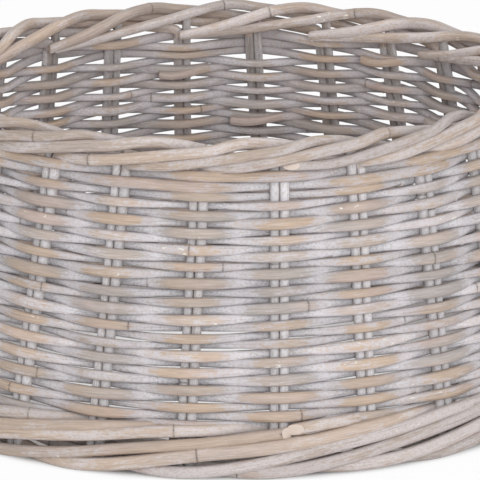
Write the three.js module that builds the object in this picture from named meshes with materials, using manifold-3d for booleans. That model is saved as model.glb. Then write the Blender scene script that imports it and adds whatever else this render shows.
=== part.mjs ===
// Wicker collar that hides the stand of a Christmas tree: an open cone of round rods.
// Paired uprights carry plain woven rows, and twisted strands make a rolled border at
// the foot and at the rim. Millimetres, +Z up, origin on the floor on the collar's axis.

import * as THREE from 'three';
import { mergeVertices } from 'three/addons/utils/BufferGeometryUtils.js';
import Module from 'manifold-3d';

const wasm = await Module();
wasm.setup();

// Driving dimensions
const collarHeight = 262;
const footRadius = 286; // middle of the wall at the floor
const rimRadius = 237; // middle of the wall at the top of the rim
const uprightPairs = 24;
const uprightDiameter = 7.6;
const uprightDrift = 9; // how far an upright leans along the wall from floor to rim
const frontUprightAngle = 9; // degrees from the front to the first pair on its right
const weaveRows = 27; // rows that pass in front of one pair and behind the next
const waleRows = 2; // rows above them that pass in front of two pairs and behind one
const weaverThickness = 7;
const rimStrands = 4; // strands side by side in the rim's section
const rimStrandDiameter = 9;
const footStrands = 7; // strands side by side in the foot's section
const footStrandDiameter = 8.4;
const floorFlat = 1; // depth of the worn flats that the foot stands on
const fitGap = 0.3; // clearance between rods that touch
const endGap = 0.6; // clearance between the two cut ends of a rod

// Finish
const uprightColour = 0xb4aaa1;
const weaverColours = [0xc9c2bc, 0xbab1aa, 0xd2cbc6];
const rimColour = 0xc3b4a2;
const footColour = 0xc8b49d;
const woodRoughness = 0.8;

// Facets of a rod's round section
const rodSides = 6;
const facetFlat = Math.cos(Math.PI / rodSides); // centre to flat, as a share of the radius
const uprightArcPoints = 6;

// The wall leans in by the same angle all round, and is measured along its slope
const wallLean = Math.atan2(footRadius - rimRadius, collarHeight);
const wallLength = Math.hypot(footRadius - rimRadius, collarHeight);
const pairAngle = (2 * Math.PI) / uprightPairs;
const driftAngle = uprightDrift / ((footRadius + rimRadius) / 2);
const frontAngle = THREE.MathUtils.degToRad(frontUprightAngle);

const uprightRadius = uprightDiameter / 2;
const pairReach = uprightRadius + uprightRadius / 4; // widest place where a rod rides on a pair

// A point of the wall: angle to the right of the front, way up the slope, way out of the wall
function wallPoint(angle, up, out) {
  const radius = footRadius - up * Math.sin(wallLean) + out * Math.cos(wallLean);
  const height = up * Math.cos(wallLean) + out * Math.sin(wallLean);
  return new THREE.Vector3(radius * Math.sin(angle), -radius * Math.cos(angle), height);
}

// Angle of an upright pair where it passes a given way up the slope
function pairAngleAt(index, up) {
  return frontAngle + index * pairAngle + driftAngle * (up / wallLength - 0.5);
}

function pairSpacingAt(up) {
  return pairAngle * (footRadius - up * Math.sin(wallLean));
}

// A closed rod through a list of { angle, up, out } stations, with flat cut ends
function rodGeometry(stations, halfOut, halfUp) {
  const corners = [];
  for (const { angle, up, out } of stations) {
    for (let side = 0; side < rodSides; side += 1) {
      const turn = (2 * Math.PI * side) / rodSides;
      const rise = halfUp * Math.sin(turn);
      corners.push(wallPoint(angle, up + rise, out + halfOut * Math.cos(turn)));
    }
  }
  const faces = [];
  for (let ring = 0; ring < stations.length - 1; ring += 1) {
    for (let side = 0; side < rodSides; side += 1) {
      const next = (side + 1) % rodSides;
      const a = ring * rodSides + side;
      const b = ring * rodSides + next;
      const c = a + rodSides;
      const d = b + rodSides;
      faces.push(a, c, b, b, c, d);
    }
  }
  const last = (stations.length - 1) * rodSides;
  for (let side = 1; side < rodSides - 1; side += 1) {
    faces.push(0, side, side + 1);
    faces.push(last, last + side + 1, last + side);
  }
  return meshGeometry(corners.flatMap((corner) => corner.toArray()), faces);
}

function meshGeometry(positions, faces) {
  const geometry = new THREE.BufferGeometry();
  geometry.setAttribute('position', new THREE.Float32BufferAttribute(positions, 3));
  geometry.setIndex(faces);
  geometry.computeVertexNormals();
  return geometry;
}

function solidOf(geometry) {
  const bare = geometry.clone();
  bare.deleteAttribute('normal');
  bare.deleteAttribute('uv');
  const merged = mergeVertices(bare, 1e-4);
  const vertProperties = new Float32Array(merged.attributes.position.array);
  const triVerts = new Uint32Array(merged.index.array);
  return new wasm.Manifold(new wasm.Mesh({ numProp: 3, vertProperties, triVerts }));
}

// Takes away what lies below the floor
function cutAtFloor(geometry) {
  const width = 4 * footRadius;
  const ground = new THREE.BoxGeometry(width, width, collarHeight);
  ground.translate(0, 0, -collarHeight / 2);
  const { vertProperties, triVerts } = solidOf(geometry).subtract(solidOf(ground)).getMesh();
  return meshGeometry(Array.from(vertProperties), Array.from(triVerts));
}

function namedMesh(name, geometry, colour) {
  const material = new THREE.MeshStandardMaterial({
    color: colour,
    roughness: woodRoughness,
    metalness: 0,
  });
  const mesh = new THREE.Mesh(geometry, material);
  mesh.name = name;
  return mesh;
}

function numbered(name, index) {
  return `${name}_${String(index + 1).padStart(2, '0')}`;
}

// A border strand winds round the tips of the uprights, and one comes out between each two pairs.
// It climbs at an even rate outside, passes through the wall and comes down inside. After one
// way round the collar a strand may meet the next one's start, and then both are one rod.
function windingOut(turn) {
  const flatness = 2;
  return Math.tanh(flatness * Math.cos(turn)) / Math.tanh(flatness);
}

function windingUp(turn) {
  const sharpness = 0.97;
  return Math.asin(sharpness * Math.sin(turn)) / Math.asin(sharpness);
}

// Room that a strand needs beside the uprights. It rides on a pair where it has turned by
// heldTurn from its widest place, and is in the middle of the wall half a spacing further on.
function windingHalfOut(strandRadius, heldTurn, up) {
  const halfSpacing = pairSpacingAt(up) / 2;
  const facetDip = pairReach * Math.tan(pairAngle / 4);
  const clear = uprightRadius + strandRadius + fitGap + facetDip;
  return clear / (windingOut(heldTurn) * (1 - pairReach / halfSpacing));
}

// Largest number that divides both counts
function sharedFactor(first, second) {
  return second === 0 ? first : sharedFactor(second, first % second);
}

function windingStations(border, rod) {
  const waysRound = border.strands / border.rods;
  const turnsEachWay = uprightPairs / border.strands;
  const stepsEachWay = 2 * uprightPairs;
  const steps = waysRound * stepsEachWay;
  const seam = pairAngleAt(uprightPairs / 2 + 0.5, border.up);
  const trim = endGap / 2 / footRadius;
  const stations = [];
  for (let step = 0; step <= steps; step += 1) {
    const ways = step / stepsEachWay;
    const turn = border.seamTurn + 2 * Math.PI * (rod / border.strands + turnsEachWay * ways);
    const inset = step === 0 ? trim : step === steps ? -trim : 0;
    stations.push({
      angle: seam + 2 * Math.PI * ways + inset,
      up: border.up + border.halfUp * windingUp(turn),
      out: border.halfOut * windingOut(turn),
    });
  }
  return stations;
}

// Foot border: strands pass under the uprights and go in through the wall between them
const footStrandRadius = footStrandDiameter / 2;
const footStrandTurn = (2 * Math.PI) / footStrands;
const footHalfUp = (footStrandDiameter + fitGap) / (footStrandTurn / (Math.PI / 2)) + fitGap;
const footLowest = footStrandRadius * (facetFlat + Math.tan(wallLean) / 2);
const footUp = footHalfUp + footLowest - floorFlat;
const foot = {
  strands: footStrands,
  rods: sharedFactor(uprightPairs, footStrands),
  up: footUp,
  halfUp: footHalfUp,
  halfOut: windingHalfOut(footStrandRadius, Math.PI / 2 - footStrandTurn / 2, footUp),
  seamTurn: Math.PI / 2,
};
const footTop = foot.up + foot.halfUp + footStrandRadius * facetFlat;

// Rim border: strands come out between the uprights and go over the rim between them
const rimStrandRadius = rimStrandDiameter / 2;
const rimStrandTurn = (2 * Math.PI) / rimStrands;
const rimHalfUp = (rimStrandDiameter + fitGap) / (rimStrandTurn / (Math.PI / 2));
const rimUp = wallLength - rimStrandRadius - rimHalfUp;
const rim = {
  strands: rimStrands,
  rods: sharedFactor(uprightPairs, rimStrands),
  up: rimUp,
  halfUp: rimHalfUp,
  halfOut: windingHalfOut(rimStrandRadius, rimStrandTurn / 2, rimUp),
  seamTurn: -Math.PI / 2,
};
const rimBottom = rim.up - rim.halfUp - rimStrandRadius * facetFlat;

// Woven rows fill the wall between the borders and lie one on another. A row is straight from
// pair to pair, so halfway it lies inside the cone and therefore a little further up the slope.
const rowCount = weaveRows + waleRows;
const rowChordRise = footRadius * (1 - Math.cos(pairAngle / 2)) * Math.sin(wallLean);
const rowsBottom = footTop + fitGap / 2;
const rowsTop = rimBottom - fitGap / 2 - rowChordRise;
const rowPitch = (rowsTop - rowsBottom) / rowCount;
const weaverHalfOut = weaverThickness / 2;
const weaverHalfUp = (rowPitch - fitGap) / 2 / facetFlat;

// How far out of the wall's middle a row runs where it passes a pair, in front or behind
function rowOut(up, inFront) {
  const chordDip = pairReach * Math.tan(pairAngle / 2) * (inFront ? 1 : -1);
  const clear = uprightRadius + weaverHalfOut + fitGap + chordDip;
  const offset = clear / (1 - (2 * pairReach) / pairSpacingAt(up));
  return inFront ? offset : -offset;
}

// A row starts and ends behind one pair, and each row starts some pairs further round
function rowGeometry(row) {
  const isWale = row >= weaveRows;
  const repeat = isWale ? 3 : 2;
  const pairsBetweenStarts = 7;
  const start = uprightPairs / 2 + row * pairsBetweenStarts;
  const up = rowsBottom + (row + 0.5) * rowPitch;
  const trim = endGap / 2 / footRadius;
  const stations = [];
  for (let pair = 0; pair <= uprightPairs; pair += 1) {
    const inset = pair === 0 ? trim : pair === uprightPairs ? -trim : 0;
    const angle = pairAngleAt(start + pair, up) + inset;
    stations.push({ angle, up, out: rowOut(up, pair % repeat !== 0) });
  }
  return rodGeometry(stations, weaverHalfOut, weaverHalfUp);
}

// Two rods side by side, grown together along the line where they touch
function uprightGeometry(index) {
  const low = foot.up - foot.halfUp + footStrandRadius + fitGap;
  const high = rim.up + rim.halfUp / 2;
  const overlap = uprightRadius / 16;
  const rodOffset = uprightRadius - overlap;
  const waist = Math.acos(rodOffset / uprightRadius);
  const outline = [];
  for (const side of [1, -1]) {
    for (let point = 0; point <= uprightArcPoints; point += 1) {
      const sweep = (2 * (Math.PI - waist) * point) / uprightArcPoints;
      const turn = waist - Math.PI + sweep + (side > 0 ? 0 : Math.PI);
      const isSharedWaist = point === uprightArcPoints;
      if (!isSharedWaist) {
        const along = side * rodOffset + uprightRadius * Math.cos(turn);
        outline.push([along, uprightRadius * Math.sin(turn)]);
      }
    }
  }
  const corners = [];
  for (const up of [low, high]) {
    const angle = pairAngleAt(index, up);
    const across = new THREE.Vector3(Math.cos(angle), Math.sin(angle), 0);
    for (const [side, out] of outline) {
      corners.push(wallPoint(angle, up, out).addScaledVector(across, side));
    }
  }
  const count = outline.length;
  const faces = [];
  for (let point = 0; point < count; point += 1) {
    const next = (point + 1) % count;
    faces.push(point, point + count, next, next, point + count, next + count);
  }
  const contour = outline.map(([side, out]) => new THREE.Vector2(side, out));
  for (const [a, b, c] of THREE.ShapeUtils.triangulateShape(contour, [])) {
    faces.push(a, b, c, a + count, c + count, b + count);
  }
  return meshGeometry(corners.flatMap((corner) => corner.toArray()), faces);
}

const collar = new THREE.Group();

const uprights = new THREE.Group();
for (let index = 0; index < uprightPairs; index += 1) {
  uprights.add(namedMesh(numbered('upright_pair', index), uprightGeometry(index), uprightColour));
}
collar.add(uprights);

const weave = new THREE.Group();
for (let row = 0; row < rowCount; row += 1) {
  const isWale = row >= weaveRows;
  const name = isWale ? numbered('wale_row', row - weaveRows) : numbered('weave_row', row);
  weave.add(namedMesh(name, rowGeometry(row), weaverColours[row % weaverColours.length]));
}
collar.add(weave);

const footBorder = new THREE.Group();
for (let rod = 0; rod < foot.rods; rod += 1) {
  const round = rodGeometry(windingStations(foot, rod), footStrandRadius, footStrandRadius);
  footBorder.add(namedMesh(numbered('foot_strand', rod), cutAtFloor(round), footColour));
}
collar.add(footBorder);

const rimBorder = new THREE.Group();
for (let rod = 0; rod < rim.rods; rod += 1) {
  const round = rodGeometry(windingStations(rim, rod), rimStrandRadius, rimStrandRadius);
  rimBorder.add(namedMesh(numbered('rim_strand', rod), round, rimColour));
}
collar.add(rimBorder);

export default collar;
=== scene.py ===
import math
import random

import bmesh
import bpy
from mathutils import Matrix, Vector, noise


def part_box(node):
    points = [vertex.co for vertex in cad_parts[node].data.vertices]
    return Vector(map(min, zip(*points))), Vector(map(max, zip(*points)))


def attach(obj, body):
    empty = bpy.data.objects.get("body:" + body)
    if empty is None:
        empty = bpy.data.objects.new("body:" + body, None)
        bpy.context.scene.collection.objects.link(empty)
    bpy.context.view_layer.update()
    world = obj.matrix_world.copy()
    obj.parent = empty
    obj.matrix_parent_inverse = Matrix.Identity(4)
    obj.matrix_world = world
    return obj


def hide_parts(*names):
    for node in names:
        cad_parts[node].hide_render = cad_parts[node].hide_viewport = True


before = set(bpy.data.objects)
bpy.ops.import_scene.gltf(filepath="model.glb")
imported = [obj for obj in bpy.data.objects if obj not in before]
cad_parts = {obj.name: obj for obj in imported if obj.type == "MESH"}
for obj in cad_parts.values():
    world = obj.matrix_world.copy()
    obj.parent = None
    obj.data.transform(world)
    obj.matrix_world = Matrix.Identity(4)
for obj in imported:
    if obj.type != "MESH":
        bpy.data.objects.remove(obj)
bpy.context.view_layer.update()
scene = bpy.context.scene
scene.view_settings.view_transform = "Standard"
print("frame loaded:", len(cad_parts), "nodes")

# Camera: from the front and a little above, with a long lens
cameraView = {
    "place": (0.010, -3.770, 1.182),
    "tiltDown": 15.83,  # degrees below level
    "lens": 348.2,  # mm
    "sensor": 36.0,  # mm
}


def placeCamera(view):
    data = bpy.data.cameras.new("camera")
    data.sensor_width = view["sensor"]
    data.lens = view["lens"]
    camera = bpy.data.objects.new("camera", data)
    camera.location = view["place"]
    camera.rotation_euler = (math.radians(90 - view["tiltDown"]), 0, 0)
    scene.collection.objects.link(camera)
    scene.camera = camera


placeCamera(cameraView)
print("camera placed")

# Wall: a cone that leans in, measured by pair number, way up its slope and way out of it
wall = {
    "height": 0.262,
    "footRadius": 0.286,  # middle of the wall at the floor
    "rimRadius": 0.237,  # middle of the wall at the top of the rim
    "frontTurn": 9.0,  # degrees from the front to the first pair on its right
    "drift": 0.009,  # how far a pair leans along the wall from floor to rim
}
pairCount = sum(name.startswith("upright_pair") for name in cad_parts)
pairTurn = 2 * math.pi / pairCount
wallLean = math.atan2(wall["footRadius"] - wall["rimRadius"], wall["height"])
wallLength = math.hypot(wall["footRadius"] - wall["rimRadius"], wall["height"])
driftTurn = 2 * wall["drift"] / (wall["footRadius"] + wall["rimRadius"])


def wallAngle(pair, up):
    return math.radians(wall["frontTurn"]) + pair * pairTurn + driftTurn * (up / wallLength - 0.5)


def wallPoint(pair, up, out):
    angle = wallAngle(pair, up)
    radius = wall["footRadius"] - up * math.sin(wallLean) + out * math.cos(wallLean)
    height = up * math.cos(wallLean) + out * math.sin(wallLean)
    return Vector((radius * math.sin(angle), -radius * math.cos(angle), height))


def wallOutward(pair, up):
    angle = wallAngle(pair, up)
    level = math.cos(wallLean)
    return Vector((level * math.sin(angle), -level * math.cos(angle), math.sin(wallLean)))


def pairSpacing(up):
    return pairTurn * (wall["footRadius"] - up * math.sin(wallLean))


def slopeSpan(node):  # lowest and highest way up the slope that a node reaches
    low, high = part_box(node)
    return low.z / math.cos(wallLean), high.z / math.cos(wallLean)


def nodesNamed(start):
    return sorted(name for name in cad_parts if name.startswith(start))


noiseRows = 90  # each rod drifts along its own row of the noise, in this range


def wander(along, row):  # slow drift between -1 and 1
    return noise.noise(Vector((along, row, 0.5)))


def easeIn(share):
    share = min(max(share, 0.0), 1.0)
    return share * share * (3 - 2 * share)


# Rods: a rounded face is extruded from step to step along its course
rod = {
    "sides": 16,
    "squareness": 2.5,  # 2 is a round section, more has flatter faces
    "knotSwell": 0.06,  # how much thicker a rod is on each side of a knot
    "knotWidth": 0.0030,
    "knotClear": 1.2,  # plain steps keep this many knot widths away from a knot
    "firstKnot": (0.15, 1.0),  # where the first knot may come, in knot gaps
    "nextKnot": (0.55, 1.45),
    "endRound": 0.0011,  # length of the softened edge at a cut end
    "endShrink": 0.14,
    "grainStart": 50,  # each rod's grain starts anywhere in this many metres
    "wornFrom": 0.0042,  # distance from the middle of the wall where rubbing starts
    "wornTo": 0.0085,
    "insideWear": 0.6,  # share of that rubbing on the inner faces
    "insideDepth": 0.008,  # faces this deep inside the wall have the full look of the inside
    "shelterFrom": 0.004,  # outer faces that lie deeper than this keep a thicker wash
    "shelterDepth": 0.010,
    "nookFrom": 0.18,  # distance from a pair, in spacings, where painted shade starts behind it
    "nookSoft": 0.05,
    "nookDepth": 0.005,
    "nookPaintedShade": 0.38,
    "nookMiddle": 0.6,  # share of that painted shade in an average nook
    "nookSwing": 0.8,  # how much more or less other nooks have
    "nookPatches": 90,  # changes per metre up the wall
}
knotShape = (  # place, swelling, darkness
    (-1.0, 0.0, 0.0),
    (-0.36, 1.0, 0.1),
    (0.0, 0.1, 1.0),
    (0.36, 1.0, 0.1),
    (1.0, 0.0, 0.0),
)


def newRods():
    bm = bmesh.new()
    layers = {
        "grain": bm.verts.layers.float_vector.new("grain"),  # along the rod and across it
        "tone": bm.verts.layers.float_vector.new("tone"),  # wear, dark knot rings with painted shade between rods and in nooks, inside of the collar
        "marks": bm.verts.layers.float_vector.new("marks"),  # wear, grime, inside of the collar
    }
    return bm, layers


# Steps of a rod as (way along, swelling, darkness), with closer steps at knots and ends.
# A length of one metre is perMetre in the units of the way along.
def rodSteps(start, end, stepLength, knotGap, perMetre, luck, clear=(0.0, 0.0)):
    count = max(2, round((end - start) / stepLength))
    edge = rod["endRound"] * perMetre
    knotHalf = rod["knotWidth"] * perMetre
    first = start + max(2 * edge, clear[0] * perMetre)
    last = end - max(2 * edge, clear[1] * perMetre)
    knots = []
    place = start + knotGap * luck.uniform(*rod["firstKnot"])
    while place < last - 2 * knotHalf:
        if place > first + 2 * knotHalf:
            knots.append(place)
        place += knotGap * luck.uniform(*rod["nextKnot"])
    steps = [(start, -rod["endShrink"], 0.0), (end, -rod["endShrink"], 0.0)]
    steps += [(start + edge, 0.0, 0.0), (end - edge, 0.0, 0.0)]
    knotRoom = rod["knotClear"] * knotHalf
    for index in range(1, count):
        place = start + (end - start) * index / count
        if first < place < last and all(abs(place - knot) > knotRoom for knot in knots):
            steps.append((place, 0.0, 0.0))
    for knot in knots:
        for offset, swell, dark in knotShape:
            steps.append((knot + offset * knotHalf, swell * rod["knotSwell"], dark))
    return sorted(steps)


# Wear on proud faces, less than none where the wash is thick, painted shade between rods and in the
# nooks beside a pair, kept with the dark of knots, and how far inside the wall a face is
def markRing(ring, layers, stop, dark, section, paintedShade):
    pair, up, out, halfOut, _, wear = stop
    # Painted shade in the nook beside a pair, where the rods pass behind it
    besidePair = rod["nookFrom"] - abs(pair - round(pair))
    nook = easeIn(besidePair / rod["nookSoft"]) * easeIn(-out / rod["nookDepth"])
    patch = noise.noise(Vector((pair, rod["nookPatches"] * up, 0.0)))
    nook *= rod["nookPaintedShade"] * (rod["nookMiddle"] + rod["nookSwing"] * patch)
    for vert in ring:
        grain = vert[layers["grain"]]
        faceOut = grain.y / section[0]
        faceSide = grain.z / section[1]
        proud = out + faceOut * halfOut
        looksOut = max(faceOut, 0.0)
        worn = wear
        if worn is None:
            rubbing = rod["wornTo"] - rod["wornFrom"]
            worn = easeIn((proud - rod["wornFrom"]) / rubbing)
            worn += rod["insideWear"] * (1 - looksOut) * easeIn((-proud - rod["wornFrom"]) / rubbing)
        worn -= math.sqrt(looksOut) * easeIn((rod["shelterFrom"] - out) / rod["shelterDepth"])
        # Painted shade: a rod darkens towards the edges where it meets its neighbours
        corner = faceSide * paintedShade["side"] if paintedShade["side"] else abs(faceSide)
        knotsAndPaintedShade = paintedShade["amount"] * easeIn((corner - paintedShade["from"]) / (1 - paintedShade["from"]))
        knotsAndPaintedShade = max(dark, knotsAndPaintedShade, nook * looksOut)
        vert[layers["marks"]] = (worn, knotsAndPaintedShade, (1 - looksOut) * easeIn(-proud / rod["insideDepth"]))


# course(way) gives pair, up, out, half thickness out of the wall, half thickness along it and
# wear, or None for wear that follows the proud faces. Slants lean the two cut ends.
def layRod(bm, layers, course, steps, luck, paintedShade, slants=(0.0, 0.0)):
    tone = Vector((luck.random(), luck.random(), luck.random()))
    run = luck.uniform(0, rod["grainStart"])
    stops = [course(step[0]) for step in steps]
    places = [wallPoint(*stop[:3]) for stop in stops]
    section = stops[0][3:5]
    tip = None
    lastFrame = None
    for index, stop in enumerate(stops):
        pair, up, _, halfOut, halfSide, _ = stop
        before = places[max(index - 1, 0)]
        after = places[min(index + 1, len(places) - 1)]
        forward = (after - before).normalized()
        outward = wallOutward(pair, up)
        outward = (outward - forward * outward.dot(forward)).normalized()
        sideways = forward.cross(outward)
        size = 1 + steps[index][1]
        # the last two rings at each cut end lean
        slant = slants[0] if index < 2 else -slants[1] if index > len(stops) - 3 else 0.0
        leaning = (outward * size + forward * slant) * halfOut
        ringFrame = Matrix((leaning, sideways * halfSide * size, forward)).transposed().to_4x4()
        ringFrame.translation = places[index]
        if tip is None:
            ring = bmesh.ops.create_circle(bm, cap_ends=True, segments=rod["sides"], radius=1.0)["verts"]
            power = rod["squareness"]
            for vert in ring:
                vert.co *= (abs(vert.co.x) ** power + abs(vert.co.y) ** power) ** (-1 / power)
                vert[layers["grain"]] = (run, vert.co.x * section[0], vert.co.y * section[1])
                vert[layers["tone"]] = tone
            tip = ring[0].link_faces[0]
            bmesh.ops.transform(bm, matrix=ringFrame, verts=ring)
        else:
            run += (places[index] - places[index - 1]).length
            lastTip = tip
            grown = bmesh.ops.extrude_face_region(bm, geom=[tip])["geom"]
            ring = [part for part in grown if isinstance(part, bmesh.types.BMVert)]
            tip = next(part for part in grown if isinstance(part, bmesh.types.BMFace))
            if index > 1:
                bm.faces.remove(lastTip)  # the extrusion leaves it inside the rod
            for vert in ring:
                grain = vert[layers["grain"]]
                vert[layers["grain"]] = (run, grain.y, grain.z)
            bmesh.ops.transform(bm, matrix=ringFrame @ lastFrame.inverted(), verts=ring)
        markRing(ring, layers, stop, steps[index][2], section, paintedShade)
        lastFrame = ringFrame


def finishRods(name, bm, node, bark, cutWood):
    bmesh.ops.recalc_face_normals(bm, faces=bm.faces)
    for face in bm.faces:
        isEnd = len(face.verts) > 4
        face.smooth = not isEnd
        face.material_index = 1 if isEnd else 0
    mesh = bpy.data.meshes.new(name)
    bm.to_mesh(mesh)
    bm.free()
    mesh.materials.append(bark)
    mesh.materials.append(cutWood)
    piece = bpy.data.objects.new(name, mesh)
    scene.collection.objects.link(piece)
    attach(piece, "root")
    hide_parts(node)


# Node helpers for the wood materials
def wire(tree, value, socket):
    if isinstance(value, bpy.types.NodeSocket):
        tree.links.new(value, socket)
    elif isinstance(value, tuple) and len(value) == 3 and socket.type == "RGBA":
        socket.default_value = (*value, 1.0)
    else:
        socket.default_value = value


def work(tree, operation, first, second):
    node = tree.nodes.new("ShaderNodeMath")
    node.operation = operation
    wire(tree, first, node.inputs[0])
    wire(tree, second, node.inputs[1])
    return node.outputs[0]


def addShare(tree, total, value, share):
    return work(tree, "ADD", total, work(tree, "MULTIPLY", value, share))


def blendColour(tree, share, first, second, mode="MIX"):
    node = tree.nodes.new("ShaderNodeMix")
    node.data_type = "RGBA"
    node.blend_type = mode
    wire(tree, share, node.inputs[0])
    wire(tree, first, node.inputs[6])  # 6 and 7 are the colours to mix
    wire(tree, second, node.inputs[7])
    return node.outputs[2]


def spread(tree, value, low, high, newLow=0.0, newHigh=1.0):
    node = tree.nodes.new("ShaderNodeMapRange")
    node.interpolation_type = "SMOOTHSTEP"
    for socket, number in zip(node.inputs, (value, low, high, newLow, newHigh)):
        wire(tree, number, socket)
    return node.outputs[0]


def stored(tree, name):
    node = tree.nodes.new("ShaderNodeAttribute")
    node.attribute_name = name
    return node.outputs["Vector"]


def parts(tree, vector):
    node = tree.nodes.new("ShaderNodeSeparateXYZ")
    tree.links.new(vector, node.inputs[0])
    return node.outputs


noiseRoughness = 0.6


def fibres(tree, grain, along, across, detail):  # noise drawn out along the rod, per metre
    stretch = tree.nodes.new("ShaderNodeVectorMath")
    stretch.operation = "MULTIPLY"
    tree.links.new(grain, stretch.inputs[0])
    stretch.inputs[1].default_value = (along, across, across)
    texture = tree.nodes.new("ShaderNodeTexNoise")
    texture.inputs["Scale"].default_value = 1.0
    texture.inputs["Detail"].default_value = detail
    texture.inputs["Roughness"].default_value = noiseRoughness
    tree.links.new(stretch.outputs[0], texture.inputs["Vector"])
    return texture.outputs["Fac"]


# Noise along the rods: changes per metre along a rod and across it, and detail
rodNoise = {
    "fine": (60, 1100, 3),
    "flake": (190, 520, 4),
    "patch": (26, 150, 3),
    "speck": (420, 640, 2),
    "nick": (120, 330, 2),
    "cluster": (9, 60, 1),
    "slow": (4.5, 30, 2),
    "blush": (7.3, 41, 2),
    "split": (16, 1500, 2),
}
# How noise and marks make the wash, the bark and the relief of every rod
washMix = {
    "patchShare": 0.48,
    "flakeShare": 0.30,
    "fineShare": 0.22,
    "clusterShare": 0.24,
    "speckEdges": (0.36, 0.54),
    "warmthOfRod": 0.4,
    "warmthOfWear": 0.10,
    "warmthSoft": 0.18,
    "blushEdges": (0.45, 0.68),
    "mostBlush": 0.8,
    "streakEdges": (0.32, 0.68),
    "streakShade": (0.84, 1.08),
    "chipsInClusters": 0.8,
    "chipsOnWear": 0.05,
    "chipSoft": 0.04,
    "splitEdges": (0.30, 0.40),
    "paintedShadeEdges": (0.35, 0.60),
    "leastPaintedShade": 0.40,
    "gloss": 0.3,
    "fineRelief": 0.4,
    "flakeRelief": 0.4,
    "washRelief": 0.3,
    "splitRelief": 0.8,
    "bumpStrength": 0.5,
    "bumpDepth": 0.0005,
}


# Whitewashed willow: grey, tan and pink bark under a thin wash that is worn off proud places
def washedBark(name, look):
    material = bpy.data.materials.new(name)
    material.use_nodes = True
    tree = material.node_tree
    surface = tree.nodes["Principled BSDF"]
    grain = stored(tree, "grain")
    rodWash, rodWarmth, rodShade = parts(tree, stored(tree, "tone"))
    worn, knotsAndPaintedShade, inside = parts(tree, stored(tree, "marks"))
    drawn = {kind: fibres(tree, grain, *size) for kind, size in rodNoise.items()}

    coat = work(tree, "MULTIPLY", drawn["patch"], washMix["patchShare"])
    coat = addShare(tree, coat, drawn["flake"], washMix["flakeShare"])
    coat = addShare(tree, coat, drawn["fine"], washMix["fineShare"])
    coat = addShare(tree, coat, work(tree, "SUBTRACT", drawn["cluster"], 0.5), washMix["clusterShare"])
    coat = addShare(tree, coat, rodWash, look["rodSpread"])
    coat = addShare(tree, coat, worn, -look["wear"])
    coat = addShare(tree, coat, inside, -look["insideLoss"])
    low, high = look["washEdge"] - look["washSoft"], look["washEdge"] + look["washSoft"]
    cover = spread(tree, coat, low, high, look["thinCover"], look["cover"])
    specks = spread(tree, drawn["speck"], *washMix["speckEdges"], look["speckle"], 1.0)
    cover = work(tree, "MULTIPLY", cover, specks)

    warmth = addShare(tree, drawn["slow"], rodWarmth, washMix["warmthOfRod"])
    warmth = addShare(tree, warmth, worn, washMix["warmthOfWear"])
    low, high = look["warmEdge"] - washMix["warmthSoft"], look["warmEdge"] + washMix["warmthSoft"]
    warmth = spread(tree, warmth, low, high)
    bark = blendColour(tree, warmth, look["greyBark"], look["tanBark"])
    blush = spread(tree, drawn["blush"], *washMix["blushEdges"], 0.0, washMix["mostBlush"])
    bark = blendColour(tree, blush, bark, look["pinkBark"])
    streaks = spread(tree, drawn["fine"], *washMix["streakEdges"], *washMix["streakShade"])
    bark = blendColour(tree, 1.0, bark, streaks, "MULTIPLY")
    wash = blendColour(tree, spread(tree, worn, -1.0, 0.0, 1.0, 0.0), look["wash"], look["deepWash"])
    colour = blendColour(tree, cover, bark, wash)
    shade = spread(tree, rodShade, 0.0, 1.0, 1 - look["rodShade"], 1 + look["rodShade"] / 2)
    colour = blendColour(tree, 1.0, colour, shade, "MULTIPLY")

    chipped = addShare(tree, drawn["nick"], drawn["cluster"], washMix["chipsInClusters"])
    chipped = addShare(tree, chipped, worn, washMix["chipsOnWear"])
    chips = spread(tree, chipped, look["chipEdge"], look["chipEdge"] + washMix["chipSoft"])
    colour = blendColour(tree, chips, colour, look["chip"])
    cracks = spread(tree, drawn["split"], *washMix["splitEdges"], look["cracks"], 0.0)
    colour = blendColour(tree, cracks, colour, look["darkOfCracksAndShade"])
    # Painted shade between rods and in nooks, mottled by flakes, and the dark rings at knots
    shadeFlecks = spread(tree, drawn["flake"], *washMix["paintedShadeEdges"], washMix["leastPaintedShade"], look["paintedShade"])
    colour = blendColour(tree, work(tree, "MULTIPLY", knotsAndPaintedShade, shadeFlecks), colour, look["darkOfCracksAndShade"])
    # Painted light and shade on the faces inside the collar: above 1 paler, below 1 darker
    paintedLightInside = spread(tree, inside, 0.0, 1.0, 1.0, look["insidePaintedLight"])
    colour = blendColour(tree, 1.0, colour, paintedLightInside, "MULTIPLY")
    tree.links.new(colour, surface.inputs["Base Color"])

    roughness = spread(tree, cover, 0.0, look["cover"], look["barkRoughness"], look["washRoughness"])
    tree.links.new(roughness, surface.inputs["Roughness"])
    surface.inputs["Specular IOR Level"].default_value = washMix["gloss"]
    relief = work(tree, "MULTIPLY", drawn["fine"], washMix["fineRelief"])
    relief = addShare(tree, relief, drawn["flake"], washMix["flakeRelief"])
    relief = addShare(tree, relief, cover, washMix["washRelief"])
    relief = addShare(tree, relief, cracks, -washMix["splitRelief"])
    bump = tree.nodes.new("ShaderNodeBump")
    bump.inputs["Strength"].default_value = washMix["bumpStrength"]
    bump.inputs["Distance"].default_value = washMix["bumpDepth"]
    tree.links.new(relief, bump.inputs["Height"])
    tree.links.new(bump.outputs["Normal"], surface.inputs["Normal"])
    return material


# Pale wood of a cut end, with darker pores
def cutEnd(name, look):
    material = bpy.data.materials.new(name)
    material.use_nodes = True
    tree = material.node_tree
    surface = tree.nodes["Principled BSDF"]
    grain = stored(tree, "grain")
    pores = fibres(tree, grain, *look["poreNoise"])
    colour = blendColour(tree, spread(tree, pores, *look["poreEdges"]), look["pore"], look["wood"])
    tree.links.new(colour, surface.inputs["Base Color"])
    surface.inputs["Roughness"].default_value = look["roughness"]
    return material


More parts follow.
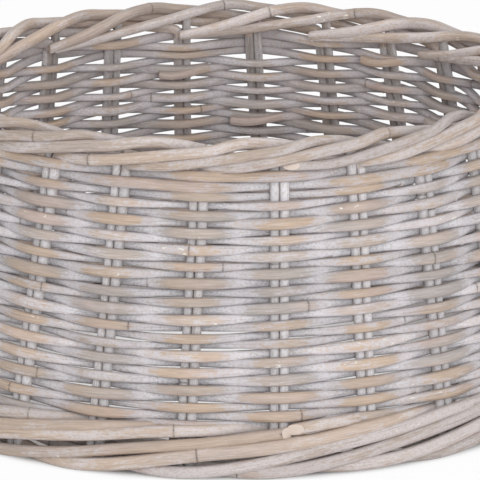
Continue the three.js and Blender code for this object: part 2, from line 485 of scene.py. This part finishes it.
weaverLook = {
    "greyBark": (0.44, 0.395, 0.37),
    "tanBark": (0.565, 0.425, 0.315),
    "pinkBark": (0.56, 0.437, 0.388),
    "wash": (0.60, 0.575, 0.605),
    "deepWash": (0.76, 0.75, 0.79),  # in sheltered places
    "chip": (0.80, 0.76, 0.69),
    # dark of the cracks, also used for the painted shade between rods
    "darkOfCracksAndShade": (0.13, 0.10, 0.085),
    "cover": 0.90,  # how much the wash hides where it is whole
    "thinCover": 0.10,  # and where it is rubbed off
    "washEdge": 0.475,  # lower leaves more wash
    "washSoft": 0.06,
    "speckle": 0.50,
    "rodSpread": 0.13,  # how differently the rods took the wash
    "wear": 0.15,
    "insideLoss": 0.06,  # wash that is missing inside the collar
    # painted light: inner faces are made paler by this factor
    "insidePaintedLight": 1.21,
    "warmEdge": 0.73,  # lower turns more bark from grey to tan
    "rodShade": 0.12,  # how much darker or paler whole rods are
    "chipEdge": 1.21,
    "cracks": 0.35,
    # strength of the painted shade between rods and in nooks
    "paintedShade": 0.95,
    "barkRoughness": 0.55,
    "washRoughness": 0.82,
}
uprightLook = dict(
    weaverLook,
    greyBark=(0.50, 0.455, 0.43),
    wash=(0.72, 0.695, 0.70),
    warmEdge=0.95,
    insideLoss=0.20,
    # painted shade: inner faces of the uprights are made darker
    insidePaintedLight=0.45,
)
footLook = dict(
    weaverLook,
    greyBark=(0.44, 0.37, 0.33),
    tanBark=(0.535, 0.415, 0.325),
    pinkBark=(0.54, 0.43, 0.375),
    wash=(0.62, 0.575, 0.575),
    deepWash=(0.70, 0.63, 0.60),
    washEdge=0.47,
    warmEdge=0.68,
    chipEdge=1.26,
)
rimLook = dict(
    footLook,
    greyBark=(0.415, 0.35, 0.31),
    tanBark=(0.505, 0.39, 0.305),
    pinkBark=(0.51, 0.405, 0.355),
    wash=(0.59, 0.545, 0.545),
    washEdge=0.46,
    insideLoss=-0.02,
    # painted light: inner faces of the rim are made paler
    insidePaintedLight=1.23,
)
endLook = {
    "wood": (0.76, 0.665, 0.60),
    "pore": (0.59, 0.49, 0.42),
    "poreNoise": (0.0, 2600, 2),  # none along the rod
    "poreEdges": (0.36, 0.60),
    "roughness": 0.85,
}

cutWood = cutEnd("cut_wood", endLook)
uprightBark = washedBark("washed_uprights", uprightLook)
weaverBark = washedBark("washed_weavers", weaverLook)
footBark = washedBark("washed_foot_border", footLook)
rimBark = washedBark("washed_rim_border", rimLook)
print("materials made")

# Upright pairs: a thinner rod on the left of a thicker one, which bends into the rim border
upright = {
    "leftRadius": 0.0037,
    "rightRadius": 0.0041,
    "gap": -0.0004,  # below nothing, the two rods press together
    "sway": 0.0006,  # how far a rod strays from its line
    "alongWaves": 9,  # strays per metre, along the wall and out of it
    "outWaves": 7,
    "thickSwing": 0.04,
    "thickWaves": 20,
    "outNoise": 40,  # rows of noise for the strays outwards and the thickness
    "thickNoise": 80,
    "seed": 100,
    "step": 0.010,
    "knotGap": 0.3,
    "rightTop": 0.2385,  # way up the slope where the right rod bends over
    "unbent": (0,),  # pairs whose right rod runs straight up into the border
    "wear": -0.15,  # less than none: the wash is thick
    "paintedShadeAmount": 0.95,  # painted shade on the faces that the two rods turn to each other
    "paintedShadeFrom": 0.62,
}


def uprightCourse(index, side, radius, row):
    def course(up):
        along = side * (radius + upright["gap"] / 2)
        along += upright["sway"] * wander(upright["alongWaves"] * up, row)
        out = upright["sway"] * wander(upright["outWaves"] * up, row + upright["outNoise"])
        swing = wander(upright["thickWaves"] * up, row + upright["thickNoise"])
        thick = radius * (1 + upright["thickSwing"] * swing)
        return index + along / pairSpacing(up), up, out, thick, thick, upright["wear"]

    return course


for index, node in enumerate(nodesNamed("upright_pair")):
    luck = random.Random(upright["seed"] + index)
    low, high = slopeSpan(node)
    bm, layers = newRods()
    noiseRow = luck.uniform(0, noiseRows)
    for side, radius, top in (
        (-1, upright["leftRadius"], high),
        (1, upright["rightRadius"], high if index in upright["unbent"] else upright["rightTop"]),
    ):
        course = uprightCourse(index, side, radius, noiseRow)
        steps = rodSteps(low, top, upright["step"], upright["knotGap"], 1.0, luck)
        paintedShade = {"side": -side, "amount": upright["paintedShadeAmount"], "from": upright["paintedShadeFrom"]}
        layRod(bm, layers, course, steps, luck, paintedShade)
    finishRods(f"upright_rods_{index + 1:02d}", bm, node, uprightBark, cutWood)
print("upright pairs made")

# Woven rows: rods that ride over one pair and under the next, with lapped ends inside
weaver = {
    "radius": 0.0034,
    "outerFullness": 0.0009,  # extra half height where a rod rides over a pair
    "middleFullness": 0.0002,  # and half way between two pairs
    "innerFullness": 0.0001,
    "ride": 0.0074,  # middle of a rod to the middle of the wall where it passes a pair
    "stiffness": 0.93,  # near 1 the rods run straight from pair to pair
    "dip": 0.35,  # how far a rod that passes over two pairs sinks in between them
    "taper": 0.16,  # share of its thickness that a rod loses on its way
    "sizes": (0.85, 1.18),
    "thickSwing": 0.13,
    "thickWaves": 0.9,  # changes per spacing
    "wander": 0.0014,
    "upWaves": 0.7,
    "outWaves": 0.9,
    "outShare": 0.5,  # share of the wander that goes in and out
    "thickNoise": 20,
    "outNoise": 50,
    "drift": 0.0042,  # how far neighbouring rows rise and fall together
    "driftRound": 1.5,  # size of that drift's noise round the wall and up it
    "driftUp": 16,
    "lap": 0.36,  # how far an end runs past its pair, in spacings
    "lapFrom": 0.75,  # where the tail starts to leave the row, before its end
    "lapEase": 0.65,
    "lapIn": 0.0056,  # how far a tail lies inside the next rod's start
    "lapDrop": 0.0030,
    "seed": 300,
    "pairsBetweenStarts": 7,
    "waleLift": 0.0008,  # how much higher each wale row lies, up against the rim border
    "stepsInSpacing": 11,
    "knotGap": 0.75,
    # painted shade along the edges where a rod meets the rows above and below
    "paintedShade": {"side": 0, "amount": 0.38, "from": 0.80},
}


# Which side a row passes a pair on: repeat 2 is over one and under one, 3 is over two
def rideSide(pair, start, repeat):
    return 1 if (pair - start) % repeat else -1


def rideAt(place, start, repeat):
    low = math.floor(place)
    share = place - low
    first = rideSide(low, start, repeat)
    second = rideSide(low + 1, start, repeat)
    swing = math.asin(weaver["stiffness"] * math.cos(math.pi * share)) / math.asin(weaver["stiffness"])
    ride = first + (second - first) * (1 - swing) / 2
    if first == second:
        ride -= weaver["dip"] * first * math.sin(math.pi * share) ** 2
    return ride


def rowDrift(place, rowUp):
    angle = wallAngle(place, rowUp)
    around = weaver["driftRound"]
    spot = Vector((around * math.cos(angle), around * math.sin(angle), weaver["driftUp"] * rowUp))
    return weaver["drift"] * noise.noise(spot) * math.sin(math.pi * rowUp / wallLength)


def weaverCourse(rowUp, start, repeat, first, last, luck):
    row = luck.uniform(0, noiseRows)
    size = luck.uniform(*weaver["sizes"])
    turned = luck.random() < 0.5  # which end is the thin one

    def course(place):
        share = (place - first) / (last - first)
        thin = 1 - weaver["taper"] * ((1 - share if turned else share) - 0.5)
        ride = rideAt(place, start, repeat)
        swing = wander(weaver["thickWaves"] * place, row + weaver["thickNoise"])
        radius = weaver["radius"] * size * thin * (1 + weaver["thickSwing"] * swing)
        full = weaver["outerFullness"] if ride > 0 else weaver["innerFullness"]
        tail = easeIn((place - last + weaver["lapFrom"]) / weaver["lapEase"])
        out = weaver["ride"] * ride - weaver["lapIn"] * tail
        stray = wander(weaver["outWaves"] * place, row + weaver["outNoise"])
        out += weaver["outShare"] * weaver["wander"] * stray
        up = rowUp + rowDrift(place, rowUp) - weaver["lapDrop"] * tail
        up += weaver["wander"] * wander(weaver["upWaves"] * place, row)
        full = weaver["middleFullness"] + (full - weaver["middleFullness"]) * easeIn(abs(ride))
        return place, up, out, radius, radius + full, None

    return course


def weaveRow(name, node, row, repeat, lift=0.0):
    luck = random.Random(weaver["seed"] + row)
    low, high = slopeSpan(node)
    rowUp = (low + high) / 2 + lift
    start = pairCount // 2 + row * weaver["pairsBetweenStarts"]
    first = start - weaver["lap"]
    last = start + pairCount + weaver["lap"]
    course = weaverCourse(rowUp, start, repeat, first, last, luck)
    perMetre = 1 / pairSpacing(rowUp)
    knotGap = weaver["knotGap"] * perMetre
    steps = rodSteps(first, last, 1 / weaver["stepsInSpacing"], knotGap, perMetre, luck)
    bm, layers = newRods()
    layRod(bm, layers, course, steps, luck, weaver["paintedShade"])
    finishRods(name, bm, node, weaverBark, cutWood)


weaveNodes = nodesNamed("weave_row")
for row, node in enumerate(weaveNodes):
    weaveRow(f"weaver_{row + 1:02d}", node, row, 2)
for row, node in enumerate(nodesNamed("wale_row")):
    weaveRow(f"waler_{row + 1:02d}", node, len(weaveNodes) + row, 3, weaver["waleLift"] * (row + 1))
print("woven rows made")


# Border rods follow stations: pairs to the right of a rod's own pair, share of the border's
# half height, share of its reach out of the wall. Lengths here are counted in stations.
borderRod = {
    "thickSwing": 0.06,
    "thickWaves": 0.35,
    "upWaves": 0.35,
    "outWaves": 0.4,
    "outShare": 0.5,  # share of the wander that goes in and out
    "wear": 0.62,
    "wearSwing": 0.38,
    "wearWaves": 0.3,
    "thickNoise": 20,
    "outNoise": 50,
    "wearNoise": 70,
    "startLength": 2,  # over which a rod gets its full thickness
    "tipFrom": 2.5,  # where it starts to get thinner, before its last station
    "tipEase": 2.5,
    "lateEase": 3,
    "floorRoom": 1.08,  # lowest way above the floor, in half thicknesses
    "endRoom": 0.0025,  # metres without a knot at each end
}


def smoothThrough(stations, way):  # a smooth curve that passes every station
    index = min(int(way), len(stations) - 2)
    share = way - index
    before = stations[max(index - 1, 0)]
    here = stations[index]
    there = stations[index + 1]
    beyond = stations[min(index + 2, len(stations) - 1)]
    values = []
    for a, b, c, d in zip(before, here, there, beyond):
        slope = (c - a) / 2
        bend = a - 2.5 * b + 2 * c - 0.5 * d
        twist = 1.5 * (b - c) + (d - a) / 2
        values.append(b + share * (slope + share * (bend + share * twist)))
    return values


def borderCourse(border, stations, index, radius, centre, halfUp, luck):
    row = luck.uniform(0, noiseRows)
    late = luck.uniform(-1, 1) * border["late"]
    tipStart = len(stations) - 1 - borderRod["tipFrom"]

    def course(way):
        place, upShare, outShare = smoothThrough(stations, way)
        swing = wander(borderRod["thickWaves"] * way, row + borderRod["thickNoise"])
        thick = radius * (1 + borderRod["thickSwing"] * swing)
        thick *= border["startSize"] + (1 - border["startSize"]) * easeIn(way / borderRod["startLength"])
        thick *= 1 - border["tipLoss"] * easeIn((way - tipStart) / borderRod["tipEase"])
        stray = wander(borderRod["outWaves"] * way, row + borderRod["outNoise"])
        out = border["reachOut"] * outShare + borderRod["outShare"] * border["wander"] * stray
        up = centre + halfUp * upShare + border["wander"] * wander(borderRod["upWaves"] * way, row)
        lowest = (borderRod["floorRoom"] * thick - out * math.sin(wallLean)) / math.cos(wallLean)
        rubbed = wander(borderRod["wearWaves"] * way, row + borderRod["wearNoise"])
        wear = borderRod["wear"] + borderRod["wearSwing"] * rubbed
        place += index + late * easeIn(way / borderRod["lateEase"])
        return place, max(up, lowest), out, thick, thick, wear

    return course


def layBorderRod(bm, layers, border, stations, index, low, high, luck, slants=(0.0, 0.0)):
    radius = border["radius"] * luck.uniform(*border["sizes"])
    centre = (low + high) / 2
    course = borderCourse(border, stations, index, radius, centre, (high - low) / 2 - radius, luck)
    span = (stations[-1][0] - stations[0][0]) * pairSpacing(centre)
    perMetre = (len(stations) - 1) / span
    clear = [borderRod["endRoom"] + slant * radius for slant in slants]
    knotGap = border["knotGap"] * perMetre
    stepLength = 1 / border["stepsBetween"]
    steps = rodSteps(0.0, len(stations) - 1.0, stepLength, knotGap, perMetre, luck, clear)
    layRod(bm, layers, course, steps, luck, border["paintedShade"], slants)


# Foot border: rods that start inside, pass under the wall, climb outside and tuck in on top
footBorder = {
    "radius": 0.0052,
    "sizes": (0.92, 1.08),
    "startSize": 1.0,  # share of its thickness that a rod starts with
    "tipLoss": 0.0,  # share of its thickness that a rod loses towards its tip
    "reachOut": 0.0128,
    "late": 0.16,  # how unevenly the rods follow each other, in spacings
    "wander": 0.0024,
    "knotGap": 0.30,
    "stepsBetween": 7,
    # painted shade along the edges where a rod meets its neighbours
    "paintedShade": {"side": 0, "amount": 0.25, "from": 0.84},
    "stations": (
        (-2.20, 0.62, -1.00),
        (-1.60, 0.26, -1.05),
        (-1.00, -0.14, -1.05),
        (-0.45, -0.58, -0.90),
        (0.05, -0.86, -0.35),
        (0.40, -1.00, 0.35),
        (0.75, -1.08, 0.85),
        (1.10, -0.94, 1.06),
        (1.45, -0.68, 1.09),
        (1.82, -0.36, 1.10),
        (2.25, 0.00, 1.08),
        (2.70, 0.30, 1.06),
        (3.20, 0.62, 1.02),
        (3.70, 0.98, 0.96),
        (4.08, 1.17, 0.82),
        (4.42, 1.26, 0.45),
        (4.72, 1.30, -0.10),
        (4.98, 1.28, -0.62),
        (5.25, 1.20, -0.85),
    ),
    "seed": 500,
    "cutOutside": (20,),  # rods whose end shows on the outside
    "cutLoss": 5,  # stations that such a rod lacks
    "cutEnd": ((4.03, 1.08, 0.94),),
    "cutSlant": 1.1,
    "extraRods": (20,),  # short rods that start beside such an end
    "extraStations": (
        (4.15, 1.22, 0.98),
        (4.38, 1.34, 1.00),
        (4.60, 1.42, 0.80),
        (4.80, 1.46, 0.20),
        (5.02, 1.42, -0.60),
        (5.25, 1.32, -0.85),
    ),
    "extraSlant": 1.4,
}


def makeFootBorder():
    luck = random.Random(footBorder["seed"])
    node = nodesNamed("foot_strand")[0]
    low, high = slopeSpan(node)
    bm, layers = newRods()
    for index in range(pairCount):
        stations = footBorder["stations"]
        slants = (0.0, 0.0)
        if index in footBorder["cutOutside"]:
            stations = stations[: -footBorder["cutLoss"]] + footBorder["cutEnd"]
            slants = (0.0, footBorder["cutSlant"])
        layBorderRod(bm, layers, footBorder, stations, index, low, high, luck, slants)
    for index in footBorder["extraRods"]:
        slants = (footBorder["extraSlant"], 0.0)
        layBorderRod(bm, layers, footBorder, footBorder["extraStations"], index, low, high, luck, slants)
    finishRods("foot_border", bm, node, footBark, cutWood)


makeFootBorder()
print("foot border made")

# Rim border: each thicker upright bends to the right, climbs outside past two pairs, goes over
# the top and comes down inside, where its end rests against a pair
rimBorder = {
    "radius": 0.0047,
    "sizes": (0.90, 1.08),
    "startSize": 0.86,  # share of its thickness that a rod starts with
    "tipLoss": 0.18,  # share of its thickness that a rod loses towards its tip
    "reachOut": 0.0112,
    "late": 0.11,  # how unevenly the rods follow each other, in spacings
    "wander": 0.0013,
    "knotGap": 0.30,
    "stepsBetween": 7,
    # painted shade along the edges where a rod meets its neighbours
    "paintedShade": {"side": 0, "amount": 0.25, "from": 0.84},
    "stations": (
        (0.065, -1.75, 0.00),
        (0.075, -1.10, 0.05),
        (0.22, -0.95, 0.40),
        (0.60, -0.80, 0.95),
        (1.10, -0.26, 1.05),
        (1.60, 0.28, 1.06),
        (2.00, 0.62, 1.04),
        (2.24, 1.00, 0.84),
        (2.46, 1.21, 0.40),
        (2.80, 1.05, -0.18),
    ),
    "tails": (  # a short and a long way down inside, by turns
        (
            (3.12, 0.56, -0.74),
            (3.44, -0.02, -0.98),
            (3.78, -0.54, -1.04),
            (4.14, -0.94, -1.00),
        ),
        (
            (3.22, 0.60, -0.70),
            (3.72, 0.10, -1.00),
            (4.22, -0.42, -1.05),
            (4.70, -0.82, -1.03),
            (5.14, -1.06, -1.00),
        ),
    ),
    "seed": 700,
    "cutOutside": (0,),  # rods that start with a cut end outside
    "cutLoss": 3,  # stations that such a rod lacks
    "cutStart": ((0.11, -0.78, 1.00),),
    "cutSlant": 1.6,
    "tipSlant": 0.4,
}


def makeRimBorder():
    nodes = nodesNamed("rim_strand")
    low, high = slopeSpan(nodes[0])
    for lane, node in enumerate(nodes):
        luck = random.Random(rimBorder["seed"] + lane)
        bm, layers = newRods()
        for index in range(lane, pairCount, len(nodes)):
            tail = rimBorder["tails"][index % len(rimBorder["tails"])]
            stations = rimBorder["stations"] + tail
            slants = (0.0, rimBorder["tipSlant"])
            if index in rimBorder["cutOutside"]:
                stations = rimBorder["cutStart"] + stations[rimBorder["cutLoss"] :]
                slants = (rimBorder["cutSlant"], rimBorder["tipSlant"])
            layBorderRod(bm, layers, rimBorder, stations, index, low, high, luck, slants)
        finishRods(f"rim_border_{lane + 1:02d}", bm, node, rimBark, cutWood)


makeRimBorder()
print("rim border made")

# Floor and light: a white studio with large soft lamps in front and above
studio = {
    "floorSize": 14.0,
    "floorColour": (0.92, 0.92, 0.92),
    "floorGlow": 0.93,  # share of plain white that is seen on the floor round the collar
    "glowFrom": 0.285,  # along the wall inside the collar the floor is seen as it is lit
    "glowTo": 0.303,
    "paintedMiddleLight": 0.6,  # painted light: the floor in the middle of the collar glows this share of plain white
    "innerFrom": 0.08,
    "innerTo": 0.20,
    "worldLight": 0.60,
    "lamps": (
        {"name": "front_lamp", "place": (0.75, -3.7, 1.5), "size": 2.8, "power": 75.0},
        {"name": "top_lamp", "place": (0.0, 0.3, 2.6), "size": 2.2, "power": 14.0},
    ),
}


def seenRays(tree):  # 1 for what the camera sees, also in gloss and through glass
    rays = tree.nodes.new("ShaderNodeLightPath")
    seen = work(tree, "MAXIMUM", rays.outputs["Is Camera Ray"], rays.outputs["Is Glossy Ray"])
    return work(tree, "MAXIMUM", seen, rays.outputs["Is Transmission Ray"])


def makeStudio():
    bm = bmesh.new()
    bmesh.ops.create_grid(bm, x_segments=1, y_segments=1, size=studio["floorSize"] / 2)
    mesh = bpy.data.meshes.new("floor")
    bm.to_mesh(mesh)
    bm.free()
    floor = bpy.data.objects.new("floor", mesh)
    scene.collection.objects.link(floor)
    material = bpy.data.materials.new("studio_floor")
    material.use_nodes = True
    tree = material.node_tree
    surface = tree.nodes["Principled BSDF"]
    surface.inputs["Base Color"].default_value = (*studio["floorColour"], 1.0)
    surface.inputs["Roughness"].default_value = 1.0
    surface.inputs["Specular IOR Level"].default_value = 0.0
    glow = tree.nodes.new("ShaderNodeEmission")
    place = tree.nodes.new("ShaderNodeTexCoord")
    away = tree.nodes.new("ShaderNodeVectorMath")
    away.operation = "LENGTH"
    tree.links.new(place.outputs["Object"], away.inputs[0])
    mix = tree.nodes.new("ShaderNodeMixShader")
    radius = away.outputs["Value"]
    outside = spread(tree, radius, studio["glowFrom"], studio["glowTo"], 0.0, studio["floorGlow"])
    # Painted light in the middle of the floor inside the collar
    middleLightShare = spread(tree, radius, studio["innerFrom"], studio["innerTo"], studio["paintedMiddleLight"], 0.0)
    share = work(tree, "MULTIPLY", seenRays(tree), work(tree, "MAXIMUM", outside, middleLightShare))
    tree.links.new(share, mix.inputs[0])
    tree.links.new(surface.outputs[0], mix.inputs[1])
    tree.links.new(glow.outputs[0], mix.inputs[2])
    tree.links.new(mix.outputs[0], tree.nodes["Material Output"].inputs["Surface"])
    mesh.materials.append(material)

    world = bpy.data.worlds.new("studio_world")
    world.use_nodes = True
    scene.world = world
    tree = world.node_tree
    sky = tree.nodes["Background"]
    sky.inputs["Color"].default_value = (1.0, 1.0, 1.0, 1.0)
    strength = spread(tree, seenRays(tree), 0.0, 1.0, studio["worldLight"], 1.0)
    tree.links.new(strength, sky.inputs["Strength"])

    for lamp in studio["lamps"]:
        data = bpy.data.lights.new(lamp["name"], "AREA")
        data.shape = "DISK"
        data.size = lamp["size"]
        data.energy = lamp["power"]
        light = bpy.data.objects.new(lamp["name"], data)
        light.location = lamp["place"]
        aim = Vector((0, 0, wall["height"] / 2)) - light.location
        light.rotation_euler = aim.to_track_quat("-Z", "Y").to_euler()
        scene.collection.objects.link(light)


makeStudio()
print("studio made")
